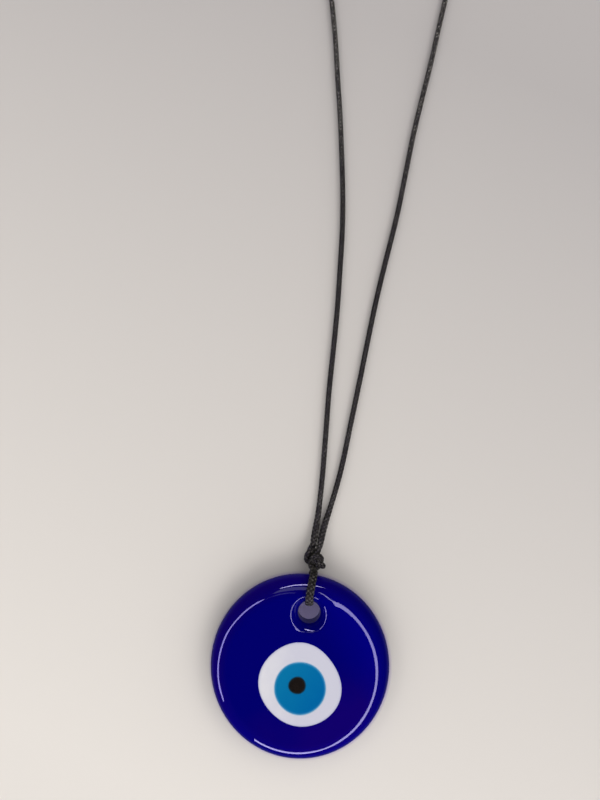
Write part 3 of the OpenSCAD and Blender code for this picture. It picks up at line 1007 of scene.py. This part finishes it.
# %% Strips and soft light
STRIP_AWAY = 0.8
EDGE_STEPS = 4
LAMP_AT, LAMP_POWER, LAMP_SIZE = (0.1, -0.95, 0.75), 2.4, 0.7
DAYLIGHT = (1, 0.985, 0.96)
LILAC = (0.96, 0.88, 1.5)
PALE_LILAC = (0.96, 0.9, 1.22)
VIOLET = (0.97, 0.86, 2.0)
RIGHT_STRIP = [
    (-113, 5, -113, 16), (-104, 6, -104, 18), (-93, 8, -93, 20), (-85, 11, -85, 22),
    (-78, 15, -78, 23), (-73, 17, -73, 30), (-68, 20, -68, 34), (-62, 23, -63, 37),
    (-57, 25, -59, 41), (-52, 28, -54, 43), (-46, 32, -49, 47), (-42, 35, -45, 50),
    (-36, 39, -41, 54), (-30, 43, -38, 58), (-24, 45, -34, 61), (-18, 49, -31, 64),
    (-13, 53, -29, 66), (-9, 55, -26, 67), (-6, 57, -25, 69), (-2, 59, -25, 71),
    (2, 61, -25, 73), (6, 62, -27, 75), (14, 63.5, -30, 76.5), (21, 65, -44, 77.5), (27, 68, -60, 77.5),
    (26, 72.5, -30, 80), (27, 75, 10, 79), (39, 72.5, 42, 74.5), (54, 66, 58, 67),
    (64, 61, 66, 61.5)]
LEFT_STRIP = [
    (138, 58, 138, 60), (144, 52, 144, 60), (154, 45, 154, 55), (162, 40, 162, 50),
    (169, 33, 169, 43), (176, 26, 176, 36), (185, 22, 185, 32), (193, 18, 193, 28),
    (200, 14.5, 200, 24.5), (207, 12, 207, 22), (214, 10.5, 214, 20.5), (221, 10, 221, 18)]
BACK_STRIP = [
    (66, 26.5, 66, 27.5), (72, 26, 72, 29.5), (80, 26.5, 80, 31.5), (90, 28.5, 90, 34.5),
    (100, 32, 100, 37.5), (107, 35, 107, 39), (111, 37.5, 111, 39)]
BACK_SHEET = [(72, 52, 72, 56), (80, 45, 80, 62), (92, 43, 92, 62), (110, 45, 110, 60),
              (122, 52, 122, 55)]
BACK_LINE = [(138, 62, 138, 64), (130, 65, 130, 67), (121, 68, 121, 70), (115, 71, 115, 73),
             (108, 73.5, 108, 75.5), (97, 76, 97, 77.5)]


def strip_light(name, rows, strength, tint, fade=0.0):
    """A strip of light in the sky. A row has azimuth and elevation of both edges, in degrees.
    fade makes its front end brighter than its far end."""
    edges = []
    for first in (0, 2):
        az, up = (np.radians([row[k] for row in rows]) for k in (first, first + 1))
        around_z = np.cos(up)[:, None] * np.stack([np.cos(az), np.sin(az)], 1)
        edge = smooth(np.column_stack([around_z, np.sin(up)]), EDGE_STEPS)
        edges.append(edge / norm(edge, axis=1)[:, None] * STRIP_AWAY)
    count = len(edges[0])
    faces = [(i, i + 1, count + i + 1, count + i) for i in range(count - 1)]
    mesh = new_mesh(name, np.vstack(edges), faces=faces)
    glow = bpy.data.materials.new(name)
    glow.use_nodes = True
    glow.node_tree.nodes.clear()
    tree = Tree(glow.node_tree)
    x, y, z = parts(tree.value("ShaderNodeTexCoord", output="Object"))
    shine = tree.add("ShaderNodeEmission", {"Color": (*tint, 1), "Strength": (1 - y * fade) * strength})
    end = tree.add("ShaderNodeOutputMaterial")
    tree.feed(end.inputs[0], shine.outputs[0])
    mesh.materials.append(glow)
    made = plain_object(name, mesh)
    made.visible_camera = False
    made.visible_diffuse = False
    made.visible_shadow = False
    print(name, "has", len(faces), "faces")
    return made


strips = [strip_light("strip_right", RIGHT_STRIP, 5.9, LILAC, fade=0.35),
          strip_light("strip_left", LEFT_STRIP, 5.9, VIOLET),
          strip_light("strip_back", BACK_STRIP, 10.5, LILAC),
          strip_light("sheet_back", BACK_SHEET, 0.9, PALE_LILAC),
          strip_light("line_back", BACK_LINE, 2.4, LILAC)]
light = bpy.data.lights.new("light_front", "AREA")
light.energy = LAMP_POWER
light.size = LAMP_SIZE
light.color = DAYLIGHT
lamp = bpy.data.objects.new("light_front", light)
lamp.location = LAMP_AT
lamp.rotation_euler = lamp.location.to_track_quat("Z", "Y").to_euler()
lamp.visible_camera = False
lamp.visible_glossy = False
scene.collection.objects.link(lamp)

# %% [markdown]
# The floor is plain and pale, with painted shade that makes it a little greyer towards the far
# right. Beside the rim it has a thin violet painted shade, where the disc keeps light off, and under
# the disc a faint violet painted glow, which the hole shows, for light that came through the glass.
# The sky is brightest half way up, stronger from the front and the right, and dim overhead, where
# the camera keeps the light off. The gloss sees a dark room with a violet shine from below instead,
# and the camera sees a plain grey wall.

# %% Floor and sky
FLOOR_NEAR = (0.8, 0.765, 0.725, 1)
# Painted shade: the floor's colour towards the far right.
FLOOR_FAR_PAINTED_SHADE = (0.487, 0.465, 0.461, 1)
# Painted shade beside the rim, where the disc keeps light off.
PAINTED_SHADE_BESIDE_GLASS = (0.5, 0.44, 0.6, 1)
# Painted light under the glass: a violet tint and a faint glow.
PAINTED_LIGHT_UNDER_GLASS = (0.75, 0.66, 0.95, 1)
PAINTED_GLOW_UNDER_GLASS = (0.7, 0.61, 1, 1)
DIM_ROOM = (0.005, 0.004, 0.008, 1)
ROOM_BELOW = (0.07, 0.062, 0.13, 1)
LOW_SKY = (1.0, 0.981, 0.958, 1)
HALF_UP_SKY = (1.75, 1.717, 1.677, 1)
OVERHEAD = (0.15, 0.147, 0.144, 1)
WALL = (0.6, 0.59, 0.58, 1)
FLOOR_HALF = 2

floor_finish = bpy.data.materials.new("floor")
tree, shader, where = finish(floor_finish, {"Roughness": 0.9, "Specular IOR Level": 0.15,
                                            "Base Color": FLOOR_NEAR, "Emission Color": PAINTED_GLOW_UNDER_GLASS})
x, y, z = parts(where)
# Painted shade: the floor greys towards the far right.
floor_with_painted_shade = blend(stretched(y + x * 0.5, -0.05, 0.19), FLOOR_NEAR, FLOOR_FAR_PAINTED_SHADE)
# Painted contact shade: a thin violet ring beside the rim.
from_rim = tree.vector("LENGTH", tree.vector("SUBTRACT", where, (0.0001, -0.0009, 0)), output="Value")
floor_with_painted_shade = blend(stretched(from_rim, 0.0236, 0.0228), floor_with_painted_shade, PAINTED_SHADE_BESIDE_GLASS)
# Painted light under the disc: a violet tint, and a faint glow that is stronger in front.
painted_glow_under_disc = stretched(tree.vector("LENGTH", where, output="Value"), 0.0205, 0.019)
blend(painted_glow_under_disc, floor_with_painted_shade, PAINTED_LIGHT_UNDER_GLASS).into(shader, "Base Color")
nearer = stretched(y, 0.0175, 0.0095)
(painted_glow_under_disc * (0.06 + nearer * 0.07)).into(shader, "Emission Strength")
corners = [(x * FLOOR_HALF, y * FLOOR_HALF, 0) for x, y in ((-1, -1), (1, -1), (1, 1), (-1, 1))]
floor_mesh = new_mesh("floor", corners, faces=[(0, 1, 2, 3)])
floor_mesh.materials.append(floor_finish)
floor = plain_object("floor", floor_mesh)
floor.visible_glossy = False

world = bpy.data.worlds.new("room")
scene.world = world
world.use_nodes = True
world.node_tree.nodes.clear()
tree = Tree(world.node_tree)
x, y, z = parts(tree.value("ShaderNodeTexCoord", output="Generated"))
mirrored_room = blend(stretched(z, -0.15, -0.6), DIM_ROOM, ROOM_BELOW)
sky = blend(stretched(z, 0.45, 0.6), LOW_SKY, HALF_UP_SKY)
sky = blend(stretched(z, 0.72, 0.84), sky, OVERHEAD)
sky = tree.vector("SCALE", sky, 1 + x * 0.3 - y * 0.5)
room = blend(tree.value("ShaderNodeLightPath", output="Is Glossy Ray"), sky, mirrored_room)
room = blend(tree.value("ShaderNodeLightPath", output="Is Camera Ray"), room, WALL)
air = tree.add("ShaderNodeBackground", {"Color": room})
end = tree.add("ShaderNodeOutputWorld")
tree.feed(end.inputs[0], air.outputs[0])
scene.view_settings.view_transform = "Standard"
tell(floor_finish)
tell(world)

# %% [markdown]
# Last, the piece of the imported model that each piece stands for is hidden. Nothing on a pendant
# turns or slides, so all of them ride with the whole. The two neck cords are limp.

# %% What each piece stands for
WAX = "waxed_cord"
stands = [(disc, "glass_disc", "cobalt_glass"), (white, "eye_white", "white_glass"),
          (iris, "eye_iris", "light_blue_glass"), (pupil, "eye_pupil", "dark_glass"),
          (loop, "hanging_loop", WAX), (knot, "cord_knot", WAX), (tie, "tie_knot", WAX),
          (neck_left, "neck_cord_left", WAX), (neck_right, "neck_cord_right", WAX)]
for piece, node, slot in stands:
    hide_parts(node)
    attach(piece, "root")
for piece, line in ((neck_left, left_line), (neck_right, right_line)):
    length_of(line) * MM
